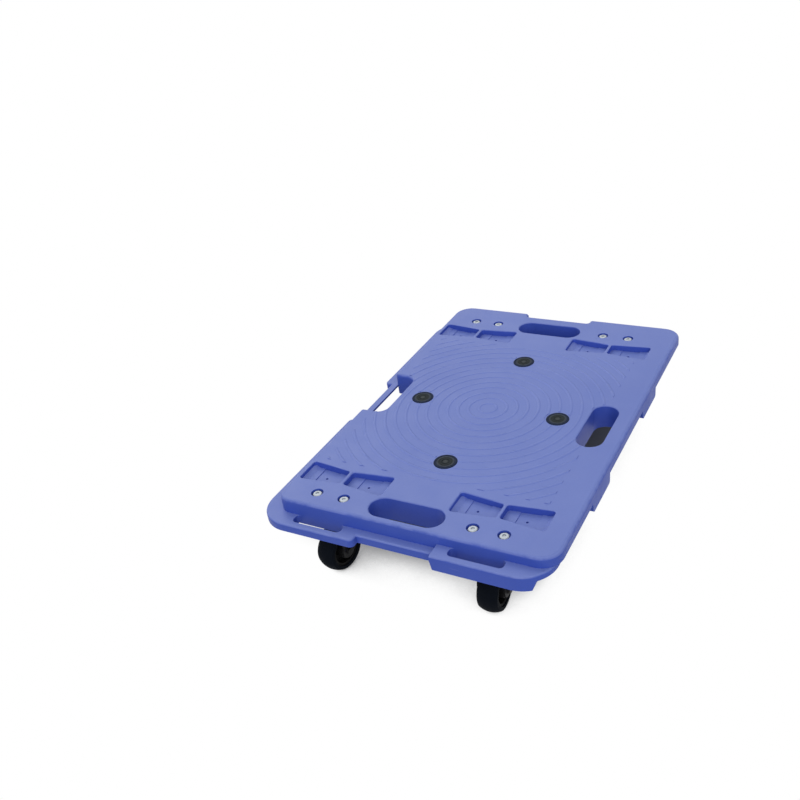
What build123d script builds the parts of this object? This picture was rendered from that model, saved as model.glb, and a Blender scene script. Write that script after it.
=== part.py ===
from build123d import *
import math
import os

# Plastic dolly: a moulded deck with a hook-and-slot coupling, on four swivel casters.
# Millimetres. +Z is up from the floor, +X is the dolly's right side, -Y its near end.
# The origin is on the floor under the middle of the whole dolly.

# Plan of the deck: two equal oblongs, the deck plate and the base below it, set apart
# diagonally so that the base stands out at the near and left sides as a ledge
MODULE_WIDTH = 400.0
MODULE_LENGTH = 600.0
COUPLING_REACH = 24.0
COUPLING_GAP = 1.0
DECK_CORNER = 28.0
NEAR_LEFT_CORNER = 20.0
LEDGE_CORNER = 45.0
BASE_CORNER = 20.0

# Heights of the moulding, counted down from the deck's top
DECK_DEPTH = 36.0
PLATE_DEPTH = 15.0
HIGH_LEDGE = 15.0
LOW_LEDGE = 22.0
LEDGE_THICKNESS = 12.0
SHELF_THICKNESS = 8.0
SHELF_SETBACK = 5.0
SKIN = 3.5
WALL = 3.5
RIB = 2.6
RIB_PITCH = 61.0
EDGE_ROUND = 5.0
LEDGE_ROUND = 3.0

# Steps in the middle of the coupling sides
MIDDLE_STEP = 12.0
MIDDLE_HALF = 56.0
STEP_CORNER = 5.0
WING_CORNER = 7.0
WING_DRAFT = 4.5
WING_END_DRAFT = 2.5

# Hand slots and the open notch
GRIP_LENGTH = 107.0
GRIP_WIDTH = 38.0
GRIP_MARGIN = 9.0
GRIP_WALL = 3.0
GRIP_ROUND = 2.0
NOTCH_CORNER = 15.0

# Link slots in the ledge, and the hooks that drop into the next dolly's slots
LINK_SPREAD = 115.0
LINK_SHIFT = -2.5
LINK_LENGTH = 75.0
LINK_WIDTH = 15.0
LINK_CORNER = 6.0
LINK_COLLAR = 6.0
HOOK_PLAY = 3.0
HOOK_THICKNESS = 12.0
HOOK_SETBACK = 1.0
HOOK_DEPTH = 32.0
HOOK_TAPER = 2.0
HOOK_ROUND = 4.0

# Shallow pockets in the deck, in pairs beside the caster bolts
POCKET_LENGTH = 62.5
POCKET_WIDTH = 41.0
POCKET_SLANT = 6.5
POCKET_DEPTH = 9.0
POCKET_RIB = 5.0
POCKET_WALL = 6.0
POCKET_INSET = 21.0
POCKET_CORNER = 4.0
POCKET_ROUND = 1.2
POCKET_RAMP = 7.0
POCKET_RAMP_DEPTH = 5.5
POCKET_PANEL = 28.0
POCKET_PANEL_DEPTH = 1.0
POCKET_HOLE = 3.5

# Low ridges on the deck, in rings about its middle
RING_FIRST = 13.2
RING_PITCH = 15.7
RING_WIDTH = 4.6
RING_HEIGHT = 0.7
RING_ROOT = 1.0
RING_SIDE_INSET = 21.0
RING_END_INSET = 10.5
RING_CLEAR = 3.0

# Grip pads
PAD_DIAMETER = 33.0
PAD_SIDE_INSET = 78.5
PAD_END_INSET = 143.5
PAD_SEAT = 2.6
PAD_PROUD = 0.8
PAD_RIM = 3.0
PAD_GROOVE = 1.0
PAD_GROOVE_DEPTH = 0.6
PAD_GROOVE_PITCH = 4.0
PAD_GROOVE_COUNT = 3
PAD_ROUND = 0.7
PAD_PEG = 8.0
PAD_BARB = 1.2
PAD_BARB_HEIGHT = 2.5
PAD_GAP = 0.2
BARB_ROOM = 2.0

# Casters
CASTER_SIDE_INSET = 73.0
CASTER_END_INSET = 48.0
WHEEL_DIAMETER = 65.0
WHEEL_TRAIL = 21.0
TYRE_WIDTH = 28.0
TYRE_DEPTH = 8.5
TREAD_DROP = 3.6
TYRE_ROUND = 1.0
RIM_WIDTH = 24.0
RIM_DEPTH = 4.0
WEB = 6.0
HUB_DIAMETER = 24.0
HUB_LENGTH = 30.0
SHEET = 2.5
FORK_ROOM = 11.0
FORK_BEND = 6.0
FORK_EYE = 10.5
FORK_FRONT = 19.0
FORK_BACK = 23.0
FORK_SHOULDER = 21.0
CROWN_RISE = 6.4
RACE_RADIUS = 15.5
RACE_LAND = 3.3
RACE_GAP = 2.6
BALL_DIAMETER = 4.76
BALL_COUNT = 12
PLATE_SIDE = 60.0
PLATE_CORNER = 7.0
SEAT_RECESS = 4.0
SEAT_MARGIN = 3.0
SEAT_THICKNESS = 4.0

# Fasteners
BOLT_SPACING = 42.0
BOLT_DIAMETER = 6.0
BOLT_HEAD = 13.0
BOLT_HEAD_HEIGHT = 4.0
BOLT_SOCKET = 5.0
BOLT_SOCKET_DEPTH = 1.2
BOLT_SINK = 5.0
BOLT_BORE = 17.0
BOLT_TAIL = 2.0
NUT_FLATS = 10.0
NUT_HEIGHT = 5.0
SCREW_DIAMETER = 5.0
SCREW_LENGTH = 14.0
SCREW_HEAD = 10.0
SCREW_HEAD_HEIGHT = 3.0
BOSS_WALL = 4.0
KING_PIN = 10.0
KING_PIN_HEAD = 18.0
KING_PIN_TOP = 2.0
KING_PIN_BOTTOM = 3.0
WASHER_DIAMETER = 20.0
WASHER = 1.0
AXLE_DIAMETER = 6.0
AXLE_FLATS = 10.0
AXLE_HEAD_HEIGHT = 4.0
AXLE_NUT_HEIGHT = 5.0
AXLE_TAIL = 1.0
SLEEVE_DIAMETER = 12.0

# Clearances
SNUG = 0.02
RUNNING = 0.08
CLEAR = 0.3
BOLT_CLEAR = 0.3
SEAT_CLEAR = 3.0
OVERLAP = 1.0

# Rest angle of each caster about its king pin, counted from trailing towards the near end
CASTERS = {
    "front_left": (-1, -1, -10.0),
    "front_right": (1, -1, 3.0),
    "rear_left": (-1, 1, -5.0),
    "rear_right": (1, 1, 9.0),
}

# Plan edges
PLATE_X0 = -(MODULE_WIDTH - COUPLING_REACH) / 2
PLATE_X1 = PLATE_X0 + MODULE_WIDTH
PLATE_Y0 = -(MODULE_LENGTH - COUPLING_REACH) / 2
PLATE_Y1 = PLATE_Y0 + MODULE_LENGTH
BASE_X0 = PLATE_X0 - COUPLING_REACH
BASE_Y0 = PLATE_Y0 - COUPLING_REACH
BASE_X1 = PLATE_X1 - COUPLING_REACH - COUPLING_GAP
BASE_Y1 = PLATE_Y1 - COUPLING_REACH - COUPLING_GAP

# Heights above the floor
AXLE_Z = WHEEL_DIAMETER / 2
FORK_TOP = WHEEL_DIAMETER + FORK_ROOM + SHEET
CROWN_TOP = FORK_TOP + CROWN_RISE
BALL_Z = CROWN_TOP + RACE_GAP / 2
TOP_PLATE_Z = CROWN_TOP + RACE_GAP
CASTER_HEIGHT = TOP_PLATE_Z + SHEET
RIM_Z = CASTER_HEIGHT - SEAT_RECESS
DECK_TOP = RIM_Z + DECK_DEPTH
PLATE_Z = DECK_TOP - PLATE_DEPTH
SKIN_Z = DECK_TOP - SKIN

# Places that several features share
GRIP_Y = -PLATE_Y0 - GRIP_MARGIN - GRIP_WIDTH / 2
GRIP_X = -PLATE_X0 - GRIP_WIDTH / 2
CASTER_X = -PLATE_X0 - CASTER_SIDE_INSET
CASTER_Y = -PLATE_Y0 - CASTER_END_INSET
PAD_X = -PLATE_X0 - PAD_SIDE_INSET
PAD_Y = -PLATE_Y0 - PAD_END_INSET
POCKET_Y = CASTER_Y - POCKET_INSET
BOLT_HALF = BOLT_SPACING / 2
SLEEVE_LENGTH = HUB_LENGTH + 2 * CLEAR
FORK_INNER = SLEEVE_LENGTH / 2 + SNUG
FORK_OUTER = FORK_INNER + SHEET
CROWN_RADIUS = RACE_RADIUS + BALL_DIAMETER / 2 + RACE_LAND


def plan_box(x0, x1, y0, y1):
    """Rectangle in plan between two corners."""
    return Pos((x0 + x1) / 2, (y0 + y1) / 2) * Rectangle(x1 - x0, y1 - y0)


def round_corner(plan, x, y, radius):
    """Round the corner of a plan that lies nearest to a point."""
    corner = plan.vertices().sort_by_distance((x, y, 0))[0]
    return fillet(corner, radius)


def prism(plan, z0, z1):
    """Extrude a plan between two heights."""
    return Pos(0, 0, z0) * extrude(plan, amount=z1 - z0, dir=(0, 0, 1))


def disc(x, y, diameter):
    """Circle in plan."""
    return Pos(x, y) * Circle(diameter / 2)


def corners(x, y):
    """The four places with the same distances from the dolly's middle."""
    return [(side * x, end * y) for side in (-1, 1) for end in (-1, 1)]


def grip_slots(grow=0.0):
    """Plans of the three closed hand slots, grown by a margin."""
    long_way = SlotOverall(GRIP_LENGTH + 2 * grow, GRIP_WIDTH + 2 * grow)
    near = Pos(0, -GRIP_Y) * long_way
    far = Pos(0, GRIP_Y) * long_way
    right = Pos(GRIP_X, 0) * Rot(0, 0, 90) * long_way
    return [near, far, right]


def pocket_places():
    """Centre of each shallow pocket, and the side on which its rib lies."""
    apart = (POCKET_LENGTH + POCKET_RIB) / 2
    return [
        (x + side * apart, y, -side)
        for x, y in corners(CASTER_X, POCKET_Y)
        for side in (-1, 1)
    ]


def pocket_plan(x, y, rib_side):
    """Plan of a pocket that narrows towards the rib beside it."""
    rib_x = x + rib_side * POCKET_LENGTH / 2
    outer_x = x - rib_side * POCKET_LENGTH / 2
    near_y = y - POCKET_WIDTH / 2
    far_y = y + POCKET_WIDTH / 2
    outline = Polyline(
        (outer_x, near_y),
        (rib_x, near_y + POCKET_SLANT),
        (rib_x, far_y - POCKET_SLANT),
        (outer_x, far_y),
        close=True,
    )
    plan = make_face(outline)
    return fillet(plan.vertices(), POCKET_CORNER)


def pocket_ramp(x, y, rib_side):
    """Wedge that raises a pocket's floor towards its outer end."""
    outer_x = x - rib_side * POCKET_LENGTH / 2
    beyond_x = outer_x - rib_side * OVERLAP
    toe_x = outer_x + rib_side * POCKET_RAMP
    floor_z = DECK_TOP - POCKET_DEPTH
    ramp_z = DECK_TOP - POCKET_RAMP_DEPTH
    outline = Polyline(
        (beyond_x, floor_z - OVERLAP),
        (toe_x, floor_z - OVERLAP),
        (toe_x, floor_z),
        (outer_x, ramp_z),
        (beyond_x, ramp_z),
        close=True,
    )
    wedge = extrude(Plane.XZ * make_face(outline), amount=POCKET_WIDTH, both=True)
    return Pos(0, y, 0) * wedge


def pad_places():
    """Name and centre of each grip pad."""
    return {
        "front": (0.0, -PAD_Y),
        "rear": (0.0, PAD_Y),
        "left": (-PAD_X, 0.0),
        "right": (PAD_X, 0.0),
    }


def caster_places():
    """Name, centre and rest angle of each caster."""
    return {
        name: (side * CASTER_X, end * CASTER_Y, angle)
        for name, (side, end, angle) in CASTERS.items()
    }


def bolt_places():
    """The outer two holes of each caster, whose bolts come from above."""
    return [
        (x + shift, y + math.copysign(BOLT_HALF, y))
        for x, y in corners(CASTER_X, CASTER_Y)
        for shift in (-BOLT_HALF, BOLT_HALF)
    ]


def screw_places():
    """The inner two holes of each caster, whose screws come from below."""
    return [
        (x + shift, y - math.copysign(BOLT_HALF, y))
        for x, y in corners(CASTER_X, CASTER_Y)
        for shift in (-BOLT_HALF, BOLT_HALF)
    ]


def notch_cut(plan):
    """Cut the open hand notch into the left side of a plan and round its corners."""
    half = GRIP_LENGTH / 2
    plan -= plan_box(PLATE_X0 - OVERLAP, PLATE_X0 + GRIP_WIDTH, -half, half)
    for y in (-half, half):
        plan = round_corner(plan, PLATE_X0 + GRIP_WIDTH, y, NOTCH_CORNER)
        plan = round_corner(plan, PLATE_X0, y, STEP_CORNER)
    return plan


def plate_plan():
    """Deck plate: rounded oblong with the notch and the step in its far edge."""
    plan = plan_box(PLATE_X0, PLATE_X1, PLATE_Y0, PLATE_Y1)
    plan = round_corner(plan, PLATE_X0, PLATE_Y0, NEAR_LEFT_CORNER)
    for x, y in ((PLATE_X1, PLATE_Y0), (PLATE_X0, PLATE_Y1), (PLATE_X1, PLATE_Y1)):
        plan = round_corner(plan, x, y, DECK_CORNER)
    step_y = PLATE_Y1 - MIDDLE_STEP
    plan -= plan_box(-MIDDLE_HALF, MIDDLE_HALF, step_y, PLATE_Y1 + OVERLAP)
    for x in (-MIDDLE_HALF, MIDDLE_HALF):
        plan = round_corner(plan, x, step_y, STEP_CORNER)
        plan = round_corner(plan, x, PLATE_Y1, STEP_CORNER)
    return notch_cut(plan)


def core_block():
    """Where the plate stands over the base, with the notch not yet cut."""
    plan = plan_box(PLATE_X0, BASE_X1, PLATE_Y0, BASE_Y1)
    plan = round_corner(plan, PLATE_X0, PLATE_Y0, NEAR_LEFT_CORNER)
    plan = round_corner(plan, PLATE_X0, BASE_Y1, BASE_CORNER)
    return round_corner(plan, BASE_X1, BASE_Y1, BASE_CORNER)


def edges_at(part, z, keep):
    """Edges that lie level at one height and whose middle passes a test."""
    level = part.edges().filter_by_position(Axis.Z, z - SNUG, z + SNUG)
    return [edge for edge in level if keep(edge.center())]


def plate_islands():
    """Plans that stay solid through the plate's depth, round its openings and recesses."""
    slots = grip_slots(GRIP_WALL)
    pockets = [offset(pocket_plan(*place), amount=POCKET_WALL) for place in pocket_places()]
    bolts = [disc(*place, BOLT_BORE + 2 * BOSS_WALL) for place in bolt_places()]
    pads = [disc(*place, PAD_DIAMETER + 2 * BOSS_WALL) for place in pad_places().values()]
    return slots + pockets + bolts + pads


def make_plate(plan):
    """Deck plate with its openings, rounded rims and hollow underside."""
    plate = prism(plan, PLATE_Z, DECK_TOP)
    plate = fillet(edges_at(plate, DECK_TOP, lambda middle: True), EDGE_ROUND)
    floor_z = DECK_TOP - POCKET_DEPTH
    for slot in grip_slots():
        plate -= prism(slot, PLATE_Z, DECK_TOP)
    for x, y, rib_side in pocket_places():
        pocket = pocket_plan(x, y, rib_side)
        panel = pocket & Pos(x, y) * Rectangle(POCKET_PANEL, 2 * POCKET_WIDTH)
        plate -= prism(pocket, floor_z, DECK_TOP) - pocket_ramp(x, y, rib_side)
        plate -= prism(panel, floor_z - POCKET_PANEL_DEPTH, DECK_TOP)

    def on_pocket(middle):
        beside_x = abs(abs(middle.X) - CASTER_X)
        beside_y = abs(abs(middle.Y) - POCKET_Y)
        return beside_x < POCKET_LENGTH + POCKET_RIB and beside_y < POCKET_WIDTH / 2 + SNUG

    def on_grip(middle):
        in_width = abs(middle.X) < GRIP_LENGTH / 2 + SNUG and abs(middle.Y) > GRIP_Y - GRIP_WIDTH
        in_side = abs(middle.Y) < GRIP_LENGTH / 2 + SNUG and middle.X > GRIP_X - GRIP_WIDTH
        flat_y = PLATE_Y1 - MIDDLE_STEP - EDGE_ROUND
        flat_x = PLATE_X1 - EDGE_ROUND
        inside = PLATE_Y0 + EDGE_ROUND < middle.Y < flat_y and middle.X < flat_x
        return inside and middle.Z > SKIN_Z and (in_width or in_side)

    plate = fillet(edges_at(plate, DECK_TOP, on_grip), GRIP_ROUND)
    plate = fillet(edges_at(plate, DECK_TOP, on_pocket), POCKET_ROUND)
    for place in bolt_places():
        plate -= prism(disc(*place, BOLT_BORE), DECK_TOP - BOLT_SINK, DECK_TOP)
    for place in pad_places().values():
        plate -= prism(disc(*place, PAD_DIAMETER + 2 * PAD_GAP), DECK_TOP - PAD_SEAT, DECK_TOP)
    hollow = offset(plan, amount=-WALL)
    for island in plate_islands():
        hollow -= island
    return plate - prism(hollow, PLATE_Z, SKIN_Z)


def ring_field():
    """Plan of the deck's middle, clear of its openings, that carries the rings."""
    half_x = -PLATE_X0 - RING_SIDE_INSET
    half_y = POCKET_Y - POCKET_WIDTH / 2 - RING_END_INSET
    field = plan_box(-half_x, half_x, -half_y, half_y)
    notch_x = PLATE_X0 + GRIP_WIDTH + RING_CLEAR
    notch_y = GRIP_LENGTH / 2 + RING_CLEAR
    field -= plan_box(PLATE_X0, notch_x, -notch_y, notch_y)
    for slot in grip_slots(RING_CLEAR):
        field -= slot
    for place in pad_places().values():
        field -= disc(*place, PAD_DIAMETER + 2 * RING_CLEAR)
    return field


def make_rings():
    """Rounded ridges that stand a little proud of the deck."""
    field = ring_field()
    block = prism(field, DECK_TOP - RING_ROOT, DECK_TOP + 2 * RING_HEIGHT)
    half = RING_WIDTH / 2
    bow = (half * half + RING_HEIGHT * RING_HEIGHT) / (2 * RING_HEIGHT)
    reach = max(math.hypot(vertex.X, vertex.Y) for vertex in field.vertices())
    count = math.ceil((reach - RING_FIRST) / RING_PITCH)
    rings = []
    for i in range(count):
        ring = Pos(0, 0, DECK_TOP + RING_HEIGHT - bow) * Torus(RING_FIRST + i * RING_PITCH, bow)
        rings += (ring & block).solids()
    return rings


def rib_grid():
    """Plan of the crossed ribs, far longer than the deck."""
    ribs = Sketch()
    columns = int(MODULE_WIDTH / 2 // RIB_PITCH)
    rows = int(MODULE_LENGTH / 2 // RIB_PITCH)
    for column in range(-columns + 1, columns):
        ribs += Pos(column * RIB_PITCH, 0) * Rectangle(RIB, 2 * MODULE_LENGTH)
    for row in range(-rows, rows + 1):
        ribs += Pos(0, row * RIB_PITCH) * Rectangle(2 * MODULE_WIDTH, RIB)
    return ribs


def make_core(core):
    """Walls under the plate down to the rim, the slot walls, ribs and caster seats."""
    walls = core - offset(core, amount=-WALL)
    pieces = [prism(walls, RIM_Z, PLATE_Z)]
    for slot in grip_slots(GRIP_WALL):
        pieces.append(prism(slot, RIM_Z, PLATE_Z))
    shallow_ribs = rib_grid() & plate_plan()
    for island in plate_islands():
        shallow_ribs -= island
    deep_ribs = rib_grid() & core
    for place in pad_places().values():
        deep_ribs -= disc(*place, PAD_PEG + 2 * PAD_BARB + 2 * BARB_ROOM)
    pieces.append(prism(shallow_ribs, PLATE_Z, SKIN_Z))
    pieces.append(prism(deep_ribs, CASTER_HEIGHT, PLATE_Z))
    seat_side = PLATE_SIDE + 2 * SEAT_MARGIN
    for x, y in corners(CASTER_X, CASTER_Y):
        seat = Pos(x, y) * RectangleRounded(seat_side, seat_side, PLATE_CORNER)
        pieces.append(prism(seat, CASTER_HEIGHT, CASTER_HEIGHT + SEAT_THICKNESS))
    for place in bolt_places():
        boss = disc(*place, BOLT_DIAMETER + 2 * BOLT_CLEAR + 2 * BOSS_WALL)
        pieces.append(prism(boss, CASTER_HEIGHT, PLATE_Z))
    for place in screw_places():
        boss = disc(*place, SCREW_DIAMETER + 2 * BOSS_WALL)
        pieces.append(prism(boss, CASTER_HEIGHT, PLATE_Z))
    return pieces


def link_slot(x, y, turned, grow=0.0):
    """Plan of a link slot whose inner side lies along the deck plate's wall."""
    long_side = LINK_LENGTH + 2 * grow
    short_side = LINK_WIDTH + 2 * grow
    slot = RectangleRounded(long_side, short_side, LINK_CORNER)
    return Pos(x, y) * Rot(0, 0, 90 if turned else 0) * slot


def link_x(side):
    """Place across the dolly of a near link slot, and of the far hook that fits one."""
    return side * LINK_SPREAD + LINK_SHIFT


def near_slot(side, grow=0.0):
    """Link slot in the near ledge."""
    return link_slot(link_x(side), PLATE_Y0 - LINK_WIDTH / 2, False, grow)


def left_slot(end, grow=0.0):
    """Link slot in the left ledge."""
    return link_slot(PLATE_X0 - LINK_WIDTH / 2, end * LINK_SPREAD, True, grow)


def make_low_ledge(block):
    """Ledge along the left side and the left part of the near end."""
    outer = plan_box(BASE_X0, MIDDLE_HALF + OVERLAP, BASE_Y0, BASE_Y1)
    outer = round_corner(outer, BASE_X0, BASE_Y0, LEDGE_CORNER)
    outer = round_corner(outer, BASE_X0, BASE_Y1, LEDGE_CORNER)
    near_y = BASE_Y0 + MIDDLE_STEP
    left_x = BASE_X0 + MIDDLE_STEP
    outer -= plan_box(-MIDDLE_HALF, MIDDLE_HALF + 2 * OVERLAP, BASE_Y0 - OVERLAP, near_y)
    outer -= plan_box(BASE_X0 - OVERLAP, left_x, -MIDDLE_HALF, MIDDLE_HALF)
    outer = round_corner(outer, -MIDDLE_HALF, BASE_Y0, WING_CORNER)
    for y in (-MIDDLE_HALF, MIDDLE_HALF):
        outer = round_corner(outer, BASE_X0, y, WING_CORNER)
    top = DECK_TOP - LOW_LEDGE
    bottom = top - LEDGE_THICKNESS
    ledge = prism(outer - block, bottom, top)

    def on_outside(middle):
        beside = middle.X < PLATE_X0 - SNUG or middle.Y < PLATE_Y0 - SNUG
        return beside and middle.X < MIDDLE_HALF

    ledge = fillet(edges_at(ledge, top, on_outside), LEDGE_ROUND)
    hollow = offset(outer, amount=-WALL) - block
    slots = [near_slot(-1), left_slot(-1), left_slot(1)]
    collars = [near_slot(-1, LINK_COLLAR), left_slot(-1, LINK_COLLAR), left_slot(1, LINK_COLLAR)]
    for collar in collars:
        hollow -= collar
    ledge -= prism(hollow, bottom, top - SKIN)
    for slot in slots:
        ledge -= prism(slot, bottom, top)
    return ledge


def make_right_wing(block):
    """Taller ledge at the right of the near end, with a shelf round the corner."""
    back_y = PLATE_Y0 + DECK_CORNER
    shelf_x = PLATE_X1 - SHELF_SETBACK
    outer = plan_box(MIDDLE_HALF, shelf_x, BASE_Y0, back_y)
    outer = round_corner(outer, shelf_x, BASE_Y0, LEDGE_CORNER)
    top = DECK_TOP - HIGH_LEDGE
    shelf_z = top - SHELF_THICKNESS
    wing = prism(outer - block, RIM_Z, top)
    front_view = Polyline(
        (MIDDLE_HALF, top),
        (shelf_x, top),
        (shelf_x, shelf_z),
        (BASE_X1 + WING_DRAFT, shelf_z),
        (BASE_X1, RIM_Z),
        (MIDDLE_HALF + WING_END_DRAFT, RIM_Z),
        (MIDDLE_HALF, shelf_z),
        close=True,
    )
    wing &= extrude(Plane.XZ * make_face(front_view), amount=MODULE_LENGTH, both=True)

    def on_outside(middle):
        in_front = middle.Y < PLATE_Y0 - SNUG
        return in_front and middle.X > MIDDLE_HALF + SNUG

    wing = fillet(edges_at(wing, top, on_outside), LEDGE_ROUND)
    room = plan_box(MIDDLE_HALF + WALL, BASE_X1 - WALL, BASE_Y0 + WALL, PLATE_Y0)
    room &= offset(outer, amount=-WALL)
    room -= near_slot(1, LINK_COLLAR)
    wing -= prism(room, RIM_Z, top - SKIN)
    return wing - prism(near_slot(1), RIM_Z, top)


def hook_profile():
    """Side view of a hook: full width under the plate, then tapering."""
    half = (LINK_LENGTH - HOOK_PLAY) / 2
    tip = half - HOOK_TAPER
    tip_z = DECK_TOP - HOOK_DEPTH
    outline = Polyline(
        (-half, SKIN_Z),
        (half, SKIN_Z),
        (half, PLATE_Z),
        (tip, tip_z),
        (-tip, tip_z),
        (-half, PLATE_Z),
        close=True,
    )
    profile = make_face(outline)
    for side in (-1, 1):
        profile = round_corner(profile, side * tip, tip_z, HOOK_ROUND)
    return Plane.XZ * profile


def make_hooks():
    """Hooks under the far and right edges of the plate."""
    hook = extrude(hook_profile(), amount=HOOK_THICKNESS / 2, both=True)
    inset = HOOK_SETBACK + HOOK_THICKNESS / 2
    far = [Pos(link_x(side), PLATE_Y1 - inset, 0) * hook for side in (-1, 1)]
    turned = Rot(0, 0, 90) * hook
    right = [
        Pos(PLATE_X1 - inset, end * LINK_SPREAD, 0) * turned
        for end in (-1, 1)
    ]
    return far + right


def make_deck():
    """The whole moulding."""
    block = core_block()
    core = notch_cut(block)
    deck = make_plate(plate_plan())
    deck += make_core(core)
    deck += make_low_ledge(block)
    deck += make_right_wing(block)
    deck += make_hooks()
    deck += make_rings()
    for slot in grip_slots():
        deck -= prism(slot, RIM_Z, PLATE_Z)
    for place in bolt_places():
        deck -= prism(disc(*place, BOLT_DIAMETER + 2 * BOLT_CLEAR), RIM_Z, DECK_TOP)
    for place in screw_places():
        top = CASTER_HEIGHT + SCREW_LENGTH
        deck -= prism(disc(*place, SCREW_DIAMETER + 2 * SNUG), RIM_Z, top)
    for place in pad_places().values():
        deck -= prism(disc(*place, PAD_PEG + 2 * SNUG), RIM_Z, DECK_TOP)
    relief = KING_PIN_HEAD + 2 * SEAT_CLEAR
    for x, y in corners(CASTER_X, CASTER_Y):
        top = CASTER_HEIGHT + SEAT_THICKNESS + OVERLAP
        deck -= prism(disc(x, y, relief), RIM_Z, top)
    for x, y, _ in pocket_places():
        deck -= prism(disc(x, y, POCKET_HOLE), PLATE_Z, DECK_TOP)
    return deck


def make_pad(x, y):
    """Rubber pad: a disc with ring grooves, and a barbed peg through the deck."""
    bottom = DECK_TOP - PAD_SEAT
    top = DECK_TOP + PAD_PROUD
    pad = prism(disc(0, 0, PAD_DIAMETER), bottom, top)
    pad = fillet(edges_at(pad, top, lambda middle: True), PAD_ROUND)
    for i in range(PAD_GROOVE_COUNT):
        outer = PAD_DIAMETER - 2 * PAD_RIM - 2 * i * PAD_GROOVE_PITCH
        groove = disc(0, 0, outer) - disc(0, 0, outer - 2 * PAD_GROOVE)
        pad -= prism(groove, top - PAD_GROOVE_DEPTH, top)
    barb_top = PLATE_Z
    pad += prism(disc(0, 0, PAD_PEG), barb_top - PAD_BARB_HEIGHT, bottom)
    barb = Cone(
        bottom_radius=PAD_PEG / 2,
        top_radius=PAD_PEG / 2 + PAD_BARB,
        height=PAD_BARB_HEIGHT - CLEAR,
        align=(Align.CENTER, Align.CENTER, Align.MAX),
    )
    pad += Pos(0, 0, barb_top - CLEAR) * barb
    return Pos(x, y, 0) * pad


def race_ring(clearance):
    """Ring swept by the balls, grown by a clearance."""
    return Pos(0, 0, BALL_Z) * Torus(RACE_RADIUS, BALL_DIAMETER / 2 + clearance)


def hole_grid():
    """The four fastener holes of a caster about its king pin."""
    return corners(BOLT_HALF, BOLT_HALF)


def make_top_plate():
    """Mounting plate with four holes, the king pin's hole and the upper ball race."""
    plan = RectangleRounded(PLATE_SIDE, PLATE_SIDE, PLATE_CORNER)
    for x, y in hole_grid():
        plan -= disc(x, y, BOLT_DIAMETER + 2 * BOLT_CLEAR)
    plan -= disc(0, 0, KING_PIN + 2 * SNUG)
    plate = prism(plan, TOP_PLATE_Z, CASTER_HEIGHT)
    return plate - race_ring(2 * SNUG)


def make_king_pin():
    """Rivet: top head, shank and lower head."""
    washer_top = CROWN_TOP - SHEET - CLEAR
    head_top = washer_top - WASHER
    pin = prism(disc(0, 0, KING_PIN), head_top - KING_PIN_BOTTOM, CASTER_HEIGHT + KING_PIN_TOP)
    upper = prism(disc(0, 0, KING_PIN_HEAD), CASTER_HEIGHT, CASTER_HEIGHT + KING_PIN_TOP)
    upper = fillet(edges_at(upper, CASTER_HEIGHT + KING_PIN_TOP, lambda middle: True), KING_PIN_TOP / 2)
    lower = prism(disc(0, 0, KING_PIN_HEAD), head_top - KING_PIN_BOTTOM, head_top)
    lower = chamfer(edges_at(lower, head_top - KING_PIN_BOTTOM, lambda middle: True), KING_PIN_BOTTOM / 2)
    return pin + upper + lower


def make_thrust_washer():
    """Washer on the king pin's lower head."""
    ring = disc(0, 0, WASHER_DIAMETER) - disc(0, 0, KING_PIN + 2 * SNUG)
    top = CROWN_TOP - SHEET - CLEAR
    return prism(ring, top - WASHER, top)


def make_balls():
    """One ring of balls about a king pin."""
    ball = Sphere(BALL_DIAMETER / 2)
    step = 2 * math.pi / BALL_COUNT
    return [
        Pos(RACE_RADIUS * math.cos(i * step), RACE_RADIUS * math.sin(i * step), BALL_Z) * ball
        for i in range(BALL_COUNT)
    ]


def make_fork():
    """Pressed yoke: a bent sheet with two tapered legs and a raised crown for the race."""
    low = AXLE_Z - 2 * FORK_EYE
    outside = plan_box(-FORK_OUTER, FORK_OUTER, low, FORK_TOP)
    inside = plan_box(-FORK_INNER, FORK_INNER, low - OVERLAP, FORK_TOP - SHEET)
    for side in (-1, 1):
        outside = round_corner(outside, side * FORK_OUTER, FORK_TOP, FORK_BEND)
        inside = round_corner(inside, side * FORK_INNER, FORK_TOP - SHEET, FORK_BEND - SHEET)
    bent = extrude(Plane.XZ * (outside - inside), amount=2 * WHEEL_DIAMETER, both=True)
    shoulder = plan_box(-FORK_BACK, FORK_FRONT, FORK_TOP - FORK_SHOULDER, FORK_TOP)
    eye = Pos(-WHEEL_TRAIL, AXLE_Z) * Circle(FORK_EYE)
    side_view = make_hull(shoulder.edges() + eye.edges())
    legs = extrude(Plane.YZ * side_view, amount=2 * FORK_OUTER, both=True)
    fork = bent & legs
    fork += prism(disc(0, 0, 2 * CROWN_RADIUS), FORK_TOP - SHEET, CROWN_TOP)
    fork -= prism(disc(0, 0, 2 * (CROWN_RADIUS - SHEET)), FORK_TOP - SHEET - OVERLAP, CROWN_TOP - SHEET)
    fork -= prism(disc(0, 0, KING_PIN + 2 * RUNNING), FORK_TOP, CROWN_TOP)
    fork -= race_ring(CLEAR)
    axle_hole = Pos(0, -WHEEL_TRAIL, AXLE_Z) * Rot(0, 90, 0)
    return fork - axle_hole * Cylinder(AXLE_DIAMETER / 2 + SNUG, 4 * FORK_OUTER)


def on_axle(x0, x1, sketch):
    """Extrude a sketch along the axle between two places."""
    axle = Plane((x0, -WHEEL_TRAIL, AXLE_Z), x_dir=(0, 1, 0), z_dir=(1, 0, 0))
    return extrude(axle * sketch, amount=x1 - x0, dir=(1, 0, 0))


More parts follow.
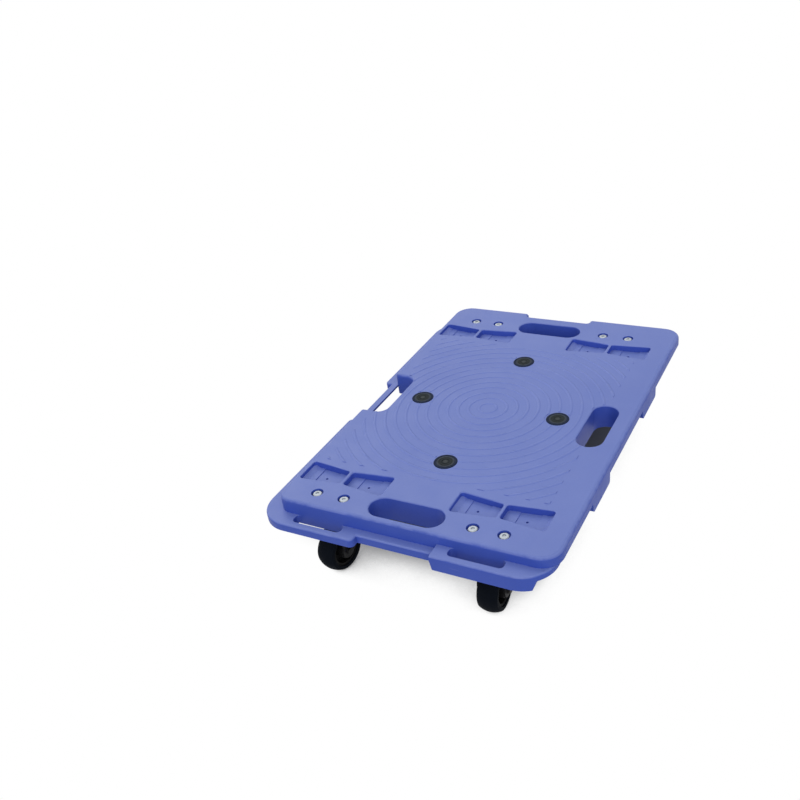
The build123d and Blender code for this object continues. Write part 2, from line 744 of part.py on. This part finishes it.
def make_axle_bolt():
    """Hexagon bolt through both legs."""
    head = RegularPolygon(AXLE_FLATS / 2, 6, major_radius=False)
    tail = FORK_OUTER + AXLE_NUT_HEIGHT + AXLE_TAIL
    bolt = on_axle(FORK_OUTER, FORK_OUTER + AXLE_HEAD_HEIGHT, head)
    return bolt + on_axle(-tail, FORK_OUTER, Circle(AXLE_DIAMETER / 2))


def make_axle_nut():
    """Lock nut on the bolt's tail."""
    flats = RegularPolygon(AXLE_FLATS / 2, 6, major_radius=False)
    ring = flats - Circle(AXLE_DIAMETER / 2 + SNUG)
    return on_axle(-FORK_OUTER - AXLE_NUT_HEIGHT, -FORK_OUTER, ring)


def make_axle_sleeve():
    """Spacer tube that the wheel turns on, clamped between the legs."""
    ring = Circle(SLEEVE_DIAMETER / 2) - Circle(AXLE_DIAMETER / 2 + SNUG)
    return on_axle(-SLEEVE_LENGTH / 2, SLEEVE_LENGTH / 2, ring)


def spun(profile):
    """Turn a half profile, drawn as place along the axle and radius, about the axle."""
    wheel = revolve(profile, axis=Axis.X)
    return Pos(0, -WHEEL_TRAIL, AXLE_Z) * wheel


def make_wheel_core():
    """Plastic wheel centre: hub, web and rim."""
    rim_radius = WHEEL_DIAMETER / 2 - TYRE_DEPTH
    bore = SLEEVE_DIAMETER / 2 + RUNNING
    hub = plan_box(-HUB_LENGTH / 2, HUB_LENGTH / 2, bore, HUB_DIAMETER / 2)
    web = plan_box(-WEB / 2, WEB / 2, bore, rim_radius)
    rim = plan_box(-RIM_WIDTH / 2, RIM_WIDTH / 2, rim_radius - RIM_DEPTH, rim_radius)
    return spun(hub + web + rim)


def make_tyre():
    """Solid tyre with a crowned tread."""
    radius = WHEEL_DIAMETER / 2
    half = TYRE_WIDTH / 2
    inner = radius - TYRE_DEPTH
    shoulder = radius - TREAD_DROP
    tread = ThreePointArc((-half, shoulder), (0, radius), (half, shoulder))
    sides = Polyline((half, shoulder), (half, inner), (-half, inner), (-half, shoulder))
    profile = make_face([tread, sides])
    for side in (-1, 1):
        profile = round_corner(profile, side * half, shoulder, TYRE_ROUND)
    return spun(profile)


def make_bolt(x, y):
    """Round-headed bolt from above, with a six-sided socket."""
    seat = DECK_TOP - BOLT_SINK
    top = seat + BOLT_HEAD_HEIGHT
    head = prism(disc(0, 0, BOLT_HEAD), seat, top)
    head = fillet(edges_at(head, top, lambda middle: True), BOLT_HEAD_HEIGHT / 2)
    socket = RegularPolygon(BOLT_SOCKET / 2, 6, major_radius=False)
    head -= prism(socket, top - BOLT_SOCKET_DEPTH, top)
    end = TOP_PLATE_Z - NUT_HEIGHT - BOLT_TAIL
    return Pos(x, y, 0) * (head + prism(disc(0, 0, BOLT_DIAMETER), end, seat))


def make_nut(x, y):
    """Hexagon nut under the top plate."""
    ring = RegularPolygon(NUT_FLATS / 2, 6, major_radius=False) - Circle(BOLT_DIAMETER / 2 + SNUG)
    return Pos(x, y, 0) * prism(ring, TOP_PLATE_Z - NUT_HEIGHT, TOP_PLATE_Z)


def make_screw(x, y):
    """Pan-headed screw from below into the deck's boss."""
    head_z = TOP_PLATE_Z - SCREW_HEAD_HEIGHT
    head = prism(disc(0, 0, SCREW_HEAD), head_z, TOP_PLATE_Z)
    head = fillet(edges_at(head, head_z, lambda middle: True), SCREW_HEAD_HEIGHT / 2)
    tip = CASTER_HEIGHT + SCREW_LENGTH - CLEAR
    return Pos(x, y, 0) * (head + prism(disc(0, 0, SCREW_DIAMETER), TOP_PLATE_Z, tip))


def build():
    """Every node of the dolly by name."""
    nodes = {"deck": make_deck()}
    for name, place in pad_places().items():
        nodes["grip_pad_" + name] = make_pad(*place)
    fixed = {
        "top_plate": make_top_plate(),
        "king_pin": make_king_pin(),
        "thrust_washer": make_thrust_washer(),
    }
    turning = {
        "fork": make_fork(),
        "axle_bolt": make_axle_bolt(),
        "axle_nut": make_axle_nut(),
        "axle_sleeve": make_axle_sleeve(),
        "wheel_core": make_wheel_core(),
        "tyre": make_tyre(),
    }
    balls = []
    for name, (x, y, angle) in caster_places().items():
        for piece, shape in fixed.items():
            nodes[piece + "_" + name] = Pos(x, y, 0) * shape
        for piece, shape in turning.items():
            nodes[piece + "_" + name] = Pos(x, y, 0) * Rot(0, 0, angle) * shape
        balls += [Pos(x, y, 0) * ball for ball in make_balls()]
    nodes["swivel_balls"] = Compound(balls)
    nodes["caster_bolts"] = Compound([make_bolt(*place) for place in bolt_places()])
    nodes["caster_nuts"] = Compound([make_nut(*place) for place in bolt_places()])
    nodes["caster_screws"] = Compound([make_screw(*place) for place in screw_places()])
    return nodes


os.makedirs("parts", exist_ok=True)
for node, shape in build().items():
    export_step(shape, "parts/" + node + ".step")
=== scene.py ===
import bpy
from mathutils import Matrix, Vector


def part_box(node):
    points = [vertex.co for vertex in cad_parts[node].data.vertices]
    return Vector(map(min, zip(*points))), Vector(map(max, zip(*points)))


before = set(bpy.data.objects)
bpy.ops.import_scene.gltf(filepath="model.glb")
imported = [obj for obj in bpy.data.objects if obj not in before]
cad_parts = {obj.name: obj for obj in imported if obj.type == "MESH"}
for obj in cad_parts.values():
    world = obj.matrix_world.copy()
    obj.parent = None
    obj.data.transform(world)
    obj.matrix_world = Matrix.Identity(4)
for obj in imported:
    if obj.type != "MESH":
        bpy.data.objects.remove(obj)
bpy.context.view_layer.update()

# Plastic dolly on four swivel casters. Metres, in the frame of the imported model.
CASTERS = ("front_left", "front_right", "rear_left", "rear_right")
PADS = ("front", "rear", "left", "right")
FASTENERS = ("caster_bolts", "caster_nuts", "caster_screws")

# The rings stand this far above the deck's flat top
RING_HEIGHT = 0.0007
DECK_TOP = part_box("deck")[1][2] - RING_HEIGHT

# Colours, linear
DECK_BLUE = (0.045, 0.091, 0.462, 1.0)
DECK_PALE = (0.057, 0.107, 0.512, 1.0)
# Paler tones of level faces and ring tops: a painted sheen where the top catches the light
LEVEL_SHEEN_BLUE = (0.146, 0.203, 0.545, 1.0)
LEVEL_SHEEN_PALE = (0.168, 0.229, 0.585, 1.0)
# Pale tone for scratches, and for wear and painted highlight on crests and edges
DECK_SCUFF_AND_HIGHLIGHT = (0.210, 0.270, 0.640, 1.0)
# Dark blue rim of the pads: painted shade of the rounded edge and the recess
PAD_EDGE_SHADE = (0.016, 0.025, 0.056, 1.0)
PAD_RING = (0.058, 0.070, 0.092, 1.0)
PAD_GREY = (0.032, 0.039, 0.041, 1.0)
PAD_DARK = (0.023, 0.029, 0.033, 1.0)
PAD_PALE = (0.060, 0.068, 0.070, 1.0)
# Blacks of tyres, wheel cores, forks and axle hardware, darker than the parts' own black: painted shade
# from under the deck
TYRE_SHADED_BLACK = (0.0028, 0.0042, 0.0075, 1.0)
TYRE_SHADED_DUST = (0.005, 0.007, 0.011, 1.0)
CORE_SHADED_BLACK = (0.004, 0.004, 0.005, 1.0)
CORE_SHADED_WORN = (0.007, 0.007, 0.008, 1.0)
FORK_SHADED_BLACK = (0.005, 0.005, 0.006, 1.0)
FORK_SHADED_WORN = (0.018, 0.018, 0.020, 1.0)
ZINC_BRIGHT = (0.45, 0.485, 0.52, 1.0)
ZINC_DULL = (0.355, 0.385, 0.42, 1.0)
STEEL_BRIGHT = (0.62, 0.62, 0.61, 1.0)
STEEL_OILED = (0.42, 0.41, 0.39, 1.0)
FLOOR_WHITE = (0.55, 0.55, 0.55, 1.0)
# Dark floor colour painted under the deck for camera rays: painted shadow
FLOOR_PAINTED_SHADOW = (0.20, 0.21, 0.24, 1.0)
WHITE = (1.0, 1.0, 1.0, 1.0)

# Deck's tone: broad flow and fine specks, and the levels where it turns from blue to pale
FLOW_SHARE = 0.7
SPECK_SHARE = 0.3
TONE_LIMITS = (0.32, 0.68)

# Deck's heights, counted in ring heights from its flat top: crests of the rings, flat top
CREST_RISE = (0.3, 0.7)
TOP_RISE = (-0.6, -0.2)

# Upward part of the normal on the deck's level faces, which get a painted paler sheen, and on its rounded
# edges, which get wear and a painted highlight
SHEEN_SLOPE = (0.40, 1.0)
EDGE_SLOPE = (0.20, 0.50, 0.90, 0.99)

# Deck's wear and painted highlight: how pale it gets on crests and edges (wear and painted
# highlight) and scratches (wear), and the levels of the noises where edges are rubbed, where a
# scratch shows, and where scratches lie together
CREST_WEAR_AND_HIGHLIGHT = 0.10
EDGE_WEAR_AND_HIGHLIGHT = 0.55
SCRATCH_WEAR = 0.35
EDGE_LIMITS = (0.28, 0.60)
SCRATCH_LIMITS = (0.68, 0.76)
PATCH_LIMITS = (0.46, 0.70)
SCRATCH_ALONG = (22.0, 1.0, 22.0)
SCRATCH_ACROSS = (1.0, 26.0, 26.0)

# Deck's gloss
DECK_ROUGH = (0.40, 0.52)
SCRATCH_ROUGH = 0.10
DECK_SHINE = 0.25

# Pads: colours by share of the radius, the outermost a painted shade of the rim and recess, how ragged
# their limits are, and the gloss. The middle and span turn a pad's own box into a circle of radius one.
PAD_STOPS = (
    (0.12, PAD_PALE),
    (0.28, PAD_DARK),
    (0.55, PAD_GREY),
    (0.72, PAD_RING),
    (0.86, PAD_EDGE_SHADE),
)
PAD_MIDDLE = (0.5, 0.5, 0.0)
PAD_SPAN = (2.0, 2.0, 0.0)
PAD_RAGGED = 0.12
PAD_ROUGH = (0.62, 0.82)
PAD_SHINE = 0.08

# Levels of the noise where black pieces turn worn, and where metal turns bright
WORN_LIMITS = (0.35, 0.75)
BRIGHT_LIMITS = (0.35, 0.62)

# Most of a noise lies between these levels
NOISE_LIMITS = (0.3, 0.7)

# Colour sockets of a mix node
MIX_INPUTS = (6, 7)
MIX_OUTPUT = 2

# Camera: place, axes, lens and shift for the photograph's view
CAMERA_PLACE = Vector((0.5132, -1.0231, 0.8290))
CAMERA_RIGHT = Vector((0.8835, 0.4529, -0.1203))
CAMERA_DOWN = Vector((0.1429, -0.5050, -0.8513))
CAMERA_FORWARD = Vector((-0.4462, 0.7348, -0.5108))
CAMERA_LENS = 40.561
CAMERA_SHIFT = -0.03

# Light
DOME_LEVEL = 0.46
BACK_LEVEL = 0.86
BACK_ANGLE = 0.8
BACK_FROM = Vector((-0.54, 0.45, 0.71))
FRONT_LEVEL = 1.10
FRONT_ANGLE = 1.2
FRONT_FROM = Vector((0.35, -0.75, 0.58))

# Floor
FLOOR_SIZE = 60.0
FLOOR_ROUGH = 0.9

# Painted shadow on the floor: how far off the dolly shades it by occlusion, how open the floor is where it
# turns white, and the limits across and along of the part under the deck that is painted darkest
SHADE_REACH = 0.60
SHADE_SAMPLES = 16
SHADE_OPEN = (0.05, 0.36)
SHADE_X = (-0.25, -0.15, 0.130, 0.165)
SHADE_Y = (-0.25, -0.17, 0.18, 0.30)


class Nodes:
    """Short ways to add and join the nodes of one tree."""

    def __init__(self, tree):
        self.tree = tree
        self.coords = self.add("ShaderNodeTexCoord").outputs
        self.place = self.coords["Object"]

    def add(self, kind, **values):
        node = self.tree.nodes.new(kind)
        for name, value in values.items():
            setattr(node, name, value)
        return node

    def join(self, source, target):
        self.tree.links.new(source, target)

    def noise(self, scale, detail=2.0, roughness=0.5, place=None):
        node = self.add("ShaderNodeTexNoise")
        node.inputs["Scale"].default_value = scale
        node.inputs["Detail"].default_value = detail
        node.inputs["Roughness"].default_value = roughness
        self.join(place or self.place, node.inputs["Vector"])
        return node.outputs["Fac"]

    def vector(self, operation, first, second):
        node = self.add("ShaderNodeVectorMath", operation=operation)
        self.join(first, node.inputs[0])
        node.inputs[1].default_value = second
        return node.outputs["Vector"]

    def length(self, vector):
        node = self.add("ShaderNodeVectorMath", operation="LENGTH")
        self.join(vector, node.inputs[0])
        return node.outputs["Value"]

    def split(self, vector):
        node = self.add("ShaderNodeSeparateXYZ")
        self.join(vector, node.inputs["Vector"])
        return node.outputs

    def ramp(self, fac, stops):
        node = self.add("ShaderNodeValToRGB")
        elements = node.color_ramp.elements
        while len(elements) < len(stops):
            elements.new(0.5)
        for element, (place, colour) in zip(elements, stops):
            element.position = place
            element.color = colour
        self.join(fac, node.inputs["Fac"])
        return node.outputs["Color"]

    def two_tone(self, fac, limits, first, second):
        return self.ramp(fac, tuple(zip(limits, (first, second))))

    def spread(self, fac, results):
        node = self.add("ShaderNodeMapRange")
        ends = ("From Min", "From Max", "To Min", "To Max")
        for end, value in zip(ends, NOISE_LIMITS + results):
            node.inputs[end].default_value = value
        self.join(fac, node.inputs["Value"])
        return node.outputs["Result"]

    def ease(self, value, limits):
        node = self.add("ShaderNodeMapRange", interpolation_type="SMOOTHSTEP")
        for end, limit in zip(("From Min", "From Max"), limits):
            node.inputs[end].default_value = limit
        self.join(value, node.inputs["Value"])
        return node.outputs["Result"]

    def band(self, value, limits):
        rise = self.ease(value, limits[:2])
        fall = self.ease(value, limits[2:])
        return self.times(rise, self.inverse(fall))

    def blend(self, fac, first, second):
        node = self.add("ShaderNodeMix", data_type="RGBA")
        self.join(fac, node.inputs["Factor"])
        for index, value in zip(MIX_INPUTS, (first, second)):
            if isinstance(value, tuple):
                node.inputs[index].default_value = value
            else:
                self.join(value, node.inputs[index])
        return node.outputs[MIX_OUTPUT]

    def math(self, operation, first, second):
        node = self.add("ShaderNodeMath", operation=operation)
        for socket, value in zip(node.inputs, (first, second)):
            if isinstance(value, float):
                socket.default_value = value
            else:
                self.join(value, socket)
        return node.outputs["Value"]

    def times(self, first, second):
        return self.math("MULTIPLY", first, second)

    def plus(self, first, second):
        return self.math("ADD", first, second)

    def larger(self, first, second):
        return self.math("MAXIMUM", first, second)

    def inverse(self, value):
        return self.math("SUBTRACT", 1.0, value)

    def bump(self, height, strength, depth, under=None):
        node = self.add("ShaderNodeBump")
        node.inputs["Strength"].default_value = strength
        node.inputs["Distance"].default_value = depth
        self.join(height, node.inputs["Height"])
        if under:
            self.join(under, node.inputs["Normal"])
        return node.outputs["Normal"]


def new_material(name):
    """A material with its principled shader and its nodes."""
    material = bpy.data.materials.new(name)
    material.use_nodes = True
    shader = material.node_tree.nodes["Principled BSDF"]
    return material, shader, Nodes(material.node_tree)


def deck_height(nodes, rise):
    """Zero below and one above two heights, which are counted in ring heights from the flat top."""
    limits = [DECK_TOP + share * RING_HEIGHT for share in rise]
    return nodes.ease(nodes.split(nodes.place)["Z"], limits)


def deck_scratches(nodes):
    """Fine scratches along and across the deck, in patches."""
    along_place = nodes.vector("MULTIPLY", nodes.place, SCRATCH_ALONG)
    across_place = nodes.vector("MULTIPLY", nodes.place, SCRATCH_ACROSS)
    along = nodes.noise(scale=16.0, detail=3.0, roughness=0.6, place=along_place)
    across = nodes.noise(scale=13.0, detail=3.0, roughness=0.6, place=across_place)
    lines = nodes.larger(nodes.ease(along, SCRATCH_LIMITS), nodes.ease(across, SCRATCH_LIMITS))
    return nodes.times(lines, nodes.ease(nodes.noise(scale=9.0), PATCH_LIMITS))


def deck_edge_wear_and_highlight(nodes, slope):
    """Rounded edges below the flat top, paler here and there with wear and a painted highlight."""
    edge = nodes.times(nodes.band(slope, EDGE_SLOPE), nodes.inverse(deck_height(nodes, TOP_RISE)))
    rub = nodes.noise(scale=38.0, detail=3.0, roughness=0.6)
    return nodes.times(edge, nodes.ease(rub, EDGE_LIMITS))


def make_deck_plastic():
    """Moulded polypropylene: smooth sides, painted paler sheen on level faces and ring tops, edges paler
    with wear and a painted highlight, light scratches.
    """
    material, shader, nodes = new_material("deck_plastic")
    flow = nodes.noise(scale=7.0, detail=3.0, roughness=0.6)
    speck = nodes.noise(scale=420.0, detail=2.0, roughness=0.6)
    tone = nodes.plus(nodes.times(flow, FLOW_SHARE), nodes.times(speck, SPECK_SHARE))
    smooth = nodes.two_tone(tone, TONE_LIMITS, DECK_BLUE, DECK_PALE)
    sheen_tone = nodes.two_tone(tone, TONE_LIMITS, LEVEL_SHEEN_BLUE, LEVEL_SHEEN_PALE)
    slope = nodes.split(nodes.coords["Normal"])["Z"]
    # Crests of the rings: paler with wear and a painted highlight, and given the painted sheen
    crest_highlight_and_wear = deck_height(nodes, CREST_RISE)
    scratches = deck_scratches(nodes)
    # Level faces and ring tops turn to the painted paler sheen, so ring flanks stay darker as painted
    # shade
    colour = nodes.blend(nodes.larger(nodes.ease(slope, SHEEN_SLOPE), crest_highlight_and_wear), smooth, sheen_tone)
    wear_and_highlight = (
        (crest_highlight_and_wear, CREST_WEAR_AND_HIGHLIGHT),
        (deck_edge_wear_and_highlight(nodes, slope), EDGE_WEAR_AND_HIGHLIGHT),
        (scratches, SCRATCH_WEAR),
    )
    for where, share in wear_and_highlight:
        colour = nodes.blend(nodes.times(where, share), colour, DECK_SCUFF_AND_HIGHLIGHT)
    nodes.join(colour, shader.inputs["Base Color"])
    rough = nodes.spread(nodes.noise(scale=26.0, detail=4.0, roughness=0.65), DECK_ROUGH)
    rough = nodes.plus(rough, nodes.times(scratches, SCRATCH_ROUGH))
    nodes.join(rough, shader.inputs["Roughness"])
    grain = nodes.bump(nodes.noise(scale=1150.0), strength=0.22, depth=0.0004)
    wave = nodes.bump(nodes.noise(scale=34.0), strength=0.10, depth=0.0010, under=grain)
    nodes.join(wave, shader.inputs["Normal"])
    shader.inputs["Specular IOR Level"].default_value = DECK_SHINE
    return material


def make_pad_rubber():
    """Rubber pad: dark edge painted as the shade of its rim, paler ring inside it, dark grey face and pale
    middle, all scuffed.
    """
    material, shader, nodes = new_material("pad_rubber")
    centred = nodes.vector("SUBTRACT", nodes.coords["Generated"], PAD_MIDDLE)
    reach = nodes.length(nodes.vector("MULTIPLY", centred, PAD_SPAN))
    scuff = nodes.times(nodes.noise(scale=260.0, detail=4.0, roughness=0.7), PAD_RAGGED)
    radius = nodes.plus(reach, nodes.math("SUBTRACT", scuff, PAD_RAGGED / 2))
    nodes.join(nodes.ramp(radius, PAD_STOPS), shader.inputs["Base Color"])
    rough = nodes.spread(nodes.noise(scale=180.0, detail=3.0), PAD_ROUGH)
    nodes.join(rough, shader.inputs["Roughness"])
    grain = nodes.noise(scale=1500.0, detail=3.0, roughness=0.6)
    nodes.join(nodes.bump(grain, strength=0.35, depth=0.0004), shader.inputs["Normal"])
    shader.inputs["Specular IOR Level"].default_value = PAD_SHINE
    return material


def make_black(name, dark, pale, rough, shine):
    """Near-black rubber, plastic and steel, darker than their own black as painted shade, with a little
    wear and a fine grain.
    """
    material, shader, nodes = new_material(name)
    dust = nodes.noise(scale=45.0, detail=5.0, roughness=0.65)
    nodes.join(nodes.two_tone(dust, WORN_LIMITS, dark, pale), shader.inputs["Base Color"])
    nodes.join(nodes.spread(nodes.noise(scale=70.0, detail=3.0), rough), shader.inputs["Roughness"])
    grain = nodes.noise(scale=1300.0, detail=2.0, roughness=0.6)
    nodes.join(nodes.bump(grain, strength=0.25, depth=0.0003), shader.inputs["Normal"])
    shader.inputs["Specular IOR Level"].default_value = shine
    return material


def make_metal(name, dull, bright, rough, drawn):
    """Plated or bare steel with faint streaks along one direction."""
    material, shader, nodes = new_material(name)
    drawn_place = nodes.vector("MULTIPLY", nodes.place, drawn)
    streaks = nodes.noise(scale=60.0, detail=4.0, roughness=0.7, place=drawn_place)
    cloud = nodes.noise(scale=110.0, detail=3.0, roughness=0.6)
    tone = nodes.times(nodes.plus(streaks, cloud), 0.5)
    nodes.join(nodes.two_tone(tone, BRIGHT_LIMITS, dull, bright), shader.inputs["Base Color"])
    nodes.join(nodes.spread(cloud, rough), shader.inputs["Roughness"])
    nodes.join(nodes.bump(streaks, strength=0.10, depth=0.0002), shader.inputs["Normal"])
    shader.inputs["Metallic"].default_value = 1.0
    return material


def seen_rays(nodes):
    """One where the ray comes from the camera, a reflection or a clear surface."""
    rays = nodes.add("ShaderNodeLightPath").outputs
    seen = nodes.larger(rays["Is Camera Ray"], rays["Is Glossy Ray"])
    return nodes.larger(seen, rays["Is Transmission Ray"])


def make_floor_white():
    """Matt white floor with painted shadow from occlusion and a dark patch painted under the deck, where
    the lamps' shadow also shows.
    """
    material, shader, nodes = new_material("floor_white")
    shader.inputs["Roughness"].default_value = FLOOR_ROUGH
    shader.inputs["Specular IOR Level"].default_value = 0.0
    seen = seen_rays(nodes)
    parts = nodes.split(nodes.place)
    # Soft box under the deck that camera rays see painted dark: painted shadow
    painted_shadow_box = nodes.times(nodes.band(parts["X"], SHADE_X), nodes.band(parts["Y"], SHADE_Y))
    under = nodes.times(seen, painted_shadow_box)
    nodes.join(nodes.blend(under, FLOOR_WHITE, FLOOR_PAINTED_SHADOW), shader.inputs["Base Color"])

    # Ambient occlusion fades the floor's white glow near the dolly: painted shadow, with the lamps' real
    # shadow showing through
    shade = nodes.add("ShaderNodeAmbientOcclusion", samples=SHADE_SAMPLES)
    shade.inputs["Distance"].default_value = SHADE_REACH
    open_floor = nodes.ease(shade.outputs["AO"], SHADE_OPEN)
    white = nodes.times(nodes.math("SUBTRACT", seen, under), open_floor)
    glow = nodes.add("ShaderNodeEmission")
    glow.inputs["Color"].default_value = WHITE
    mixed = nodes.add("ShaderNodeMixShader")
    nodes.join(white, mixed.inputs["Fac"])
    nodes.join(shader.outputs["BSDF"], mixed.inputs[1])
    nodes.join(glow.outputs["Emission"], mixed.inputs[2])
    output = material.node_tree.nodes["Material Output"]
    nodes.join(mixed.outputs["Shader"], output.inputs["Surface"])
    return material


def paint(node, material):
    """Give a CAD node its material."""
    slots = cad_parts[node].data.materials
    slots.clear()
    slots.append(material)


def paint_all():
    """Materials of every node."""
    zinc = make_metal("zinc_plate", ZINC_DULL, ZINC_BRIGHT, rough=(0.56, 0.70), drawn=(1.0, 6.0, 1.0))
    steel = make_metal("oiled_steel", STEEL_OILED, STEEL_BRIGHT, rough=(0.20, 0.34), drawn=(6.0, 1.0, 1.0))
    tyre = make_black("tyre_rubber", TYRE_SHADED_BLACK, TYRE_SHADED_DUST, rough=(0.70, 0.85), shine=0.05)
    core = make_black("wheel_plastic", CORE_SHADED_BLACK, CORE_SHADED_WORN, rough=(0.58, 0.72), shine=0.08)
    fork = make_black("fork_black", FORK_SHADED_BLACK, FORK_SHADED_WORN, rough=(0.45, 0.60), shine=0.14)
    pad = make_pad_rubber()
    by_piece = {
        "top_plate": fork,
        "king_pin": fork,
        "thrust_washer": steel,
        "fork": fork,
        # Axle bolts and nuts take the near-black fork material, with its painted shade
        "axle_bolt": fork,
        "axle_nut": fork,
        "axle_sleeve": steel,
        "wheel_core": core,
        "tyre": tyre,
    }
    paint("deck", make_deck_plastic())
    for name in PADS:
        paint("grip_pad_" + name, pad)
    for name in FASTENERS:
        paint(name, zinc)
    paint("swivel_balls", steel)
    for piece, material in by_piece.items():
        for caster in CASTERS:
            paint(piece + "_" + caster, material)


def make_floor():
    """A flat square under the wheels."""
    half = FLOOR_SIZE / 2
    mesh = bpy.data.meshes.new("floor")
    rim = [(-half, -half, 0.0), (half, -half, 0.0), (half, half, 0.0), (-half, half, 0.0)]
    mesh.from_pydata(rim, [], [(0, 1, 2, 3)])
    mesh.materials.append(make_floor_white())
    floor = bpy.data.objects.new("floor", mesh)
    bpy.context.scene.collection.objects.link(floor)


def make_dome():
    """Even light from all round, plain white where it is seen."""
    world = bpy.data.worlds.new("dome")
    bpy.context.scene.world = world
    world.use_nodes = True
    nodes = Nodes(world.node_tree)
    sky = world.node_tree.nodes["Background"]
    sky.inputs["Color"].default_value = WHITE
    level = nodes.plus(nodes.times(seen_rays(nodes), 1.0 - DOME_LEVEL), DOME_LEVEL)
    nodes.join(level, sky.inputs["Strength"])


def make_lamp(name, level, angle, source):
    """A broad lamp far away on one side."""
    lamp = bpy.data.lights.new(name, "SUN")
    lamp.energy = level
    lamp.angle = angle
    stand = bpy.data.objects.new(name, lamp)
    stand.rotation_mode = "QUATERNION"
    stand.rotation_quaternion = source.to_track_quat("Z", "Y")
    bpy.context.scene.collection.objects.link(stand)


def make_camera():
    """Camera at the photograph's viewing angle."""
    lens = bpy.data.cameras.new("camera")
    lens.sensor_fit = "HORIZONTAL"
    lens.lens = CAMERA_LENS
    lens.shift_x = CAMERA_SHIFT
    lens.clip_end = 2 * FLOOR_SIZE
    camera = bpy.data.objects.new("camera", lens)
    columns = (CAMERA_RIGHT, -CAMERA_DOWN, -CAMERA_FORWARD)
    turn = Matrix(columns).transposed().to_4x4()
    camera.matrix_world = Matrix.Translation(CAMERA_PLACE) @ turn
    bpy.context.scene.collection.objects.link(camera)
    bpy.context.scene.camera = camera


make_camera()
make_floor()
make_dome()
make_lamp("back_light", BACK_LEVEL, BACK_ANGLE, BACK_FROM)
make_lamp("front_light", FRONT_LEVEL, FRONT_ANGLE, FRONT_FROM)
paint_all()
bpy.context.scene.view_settings.view_transform = "Standard"
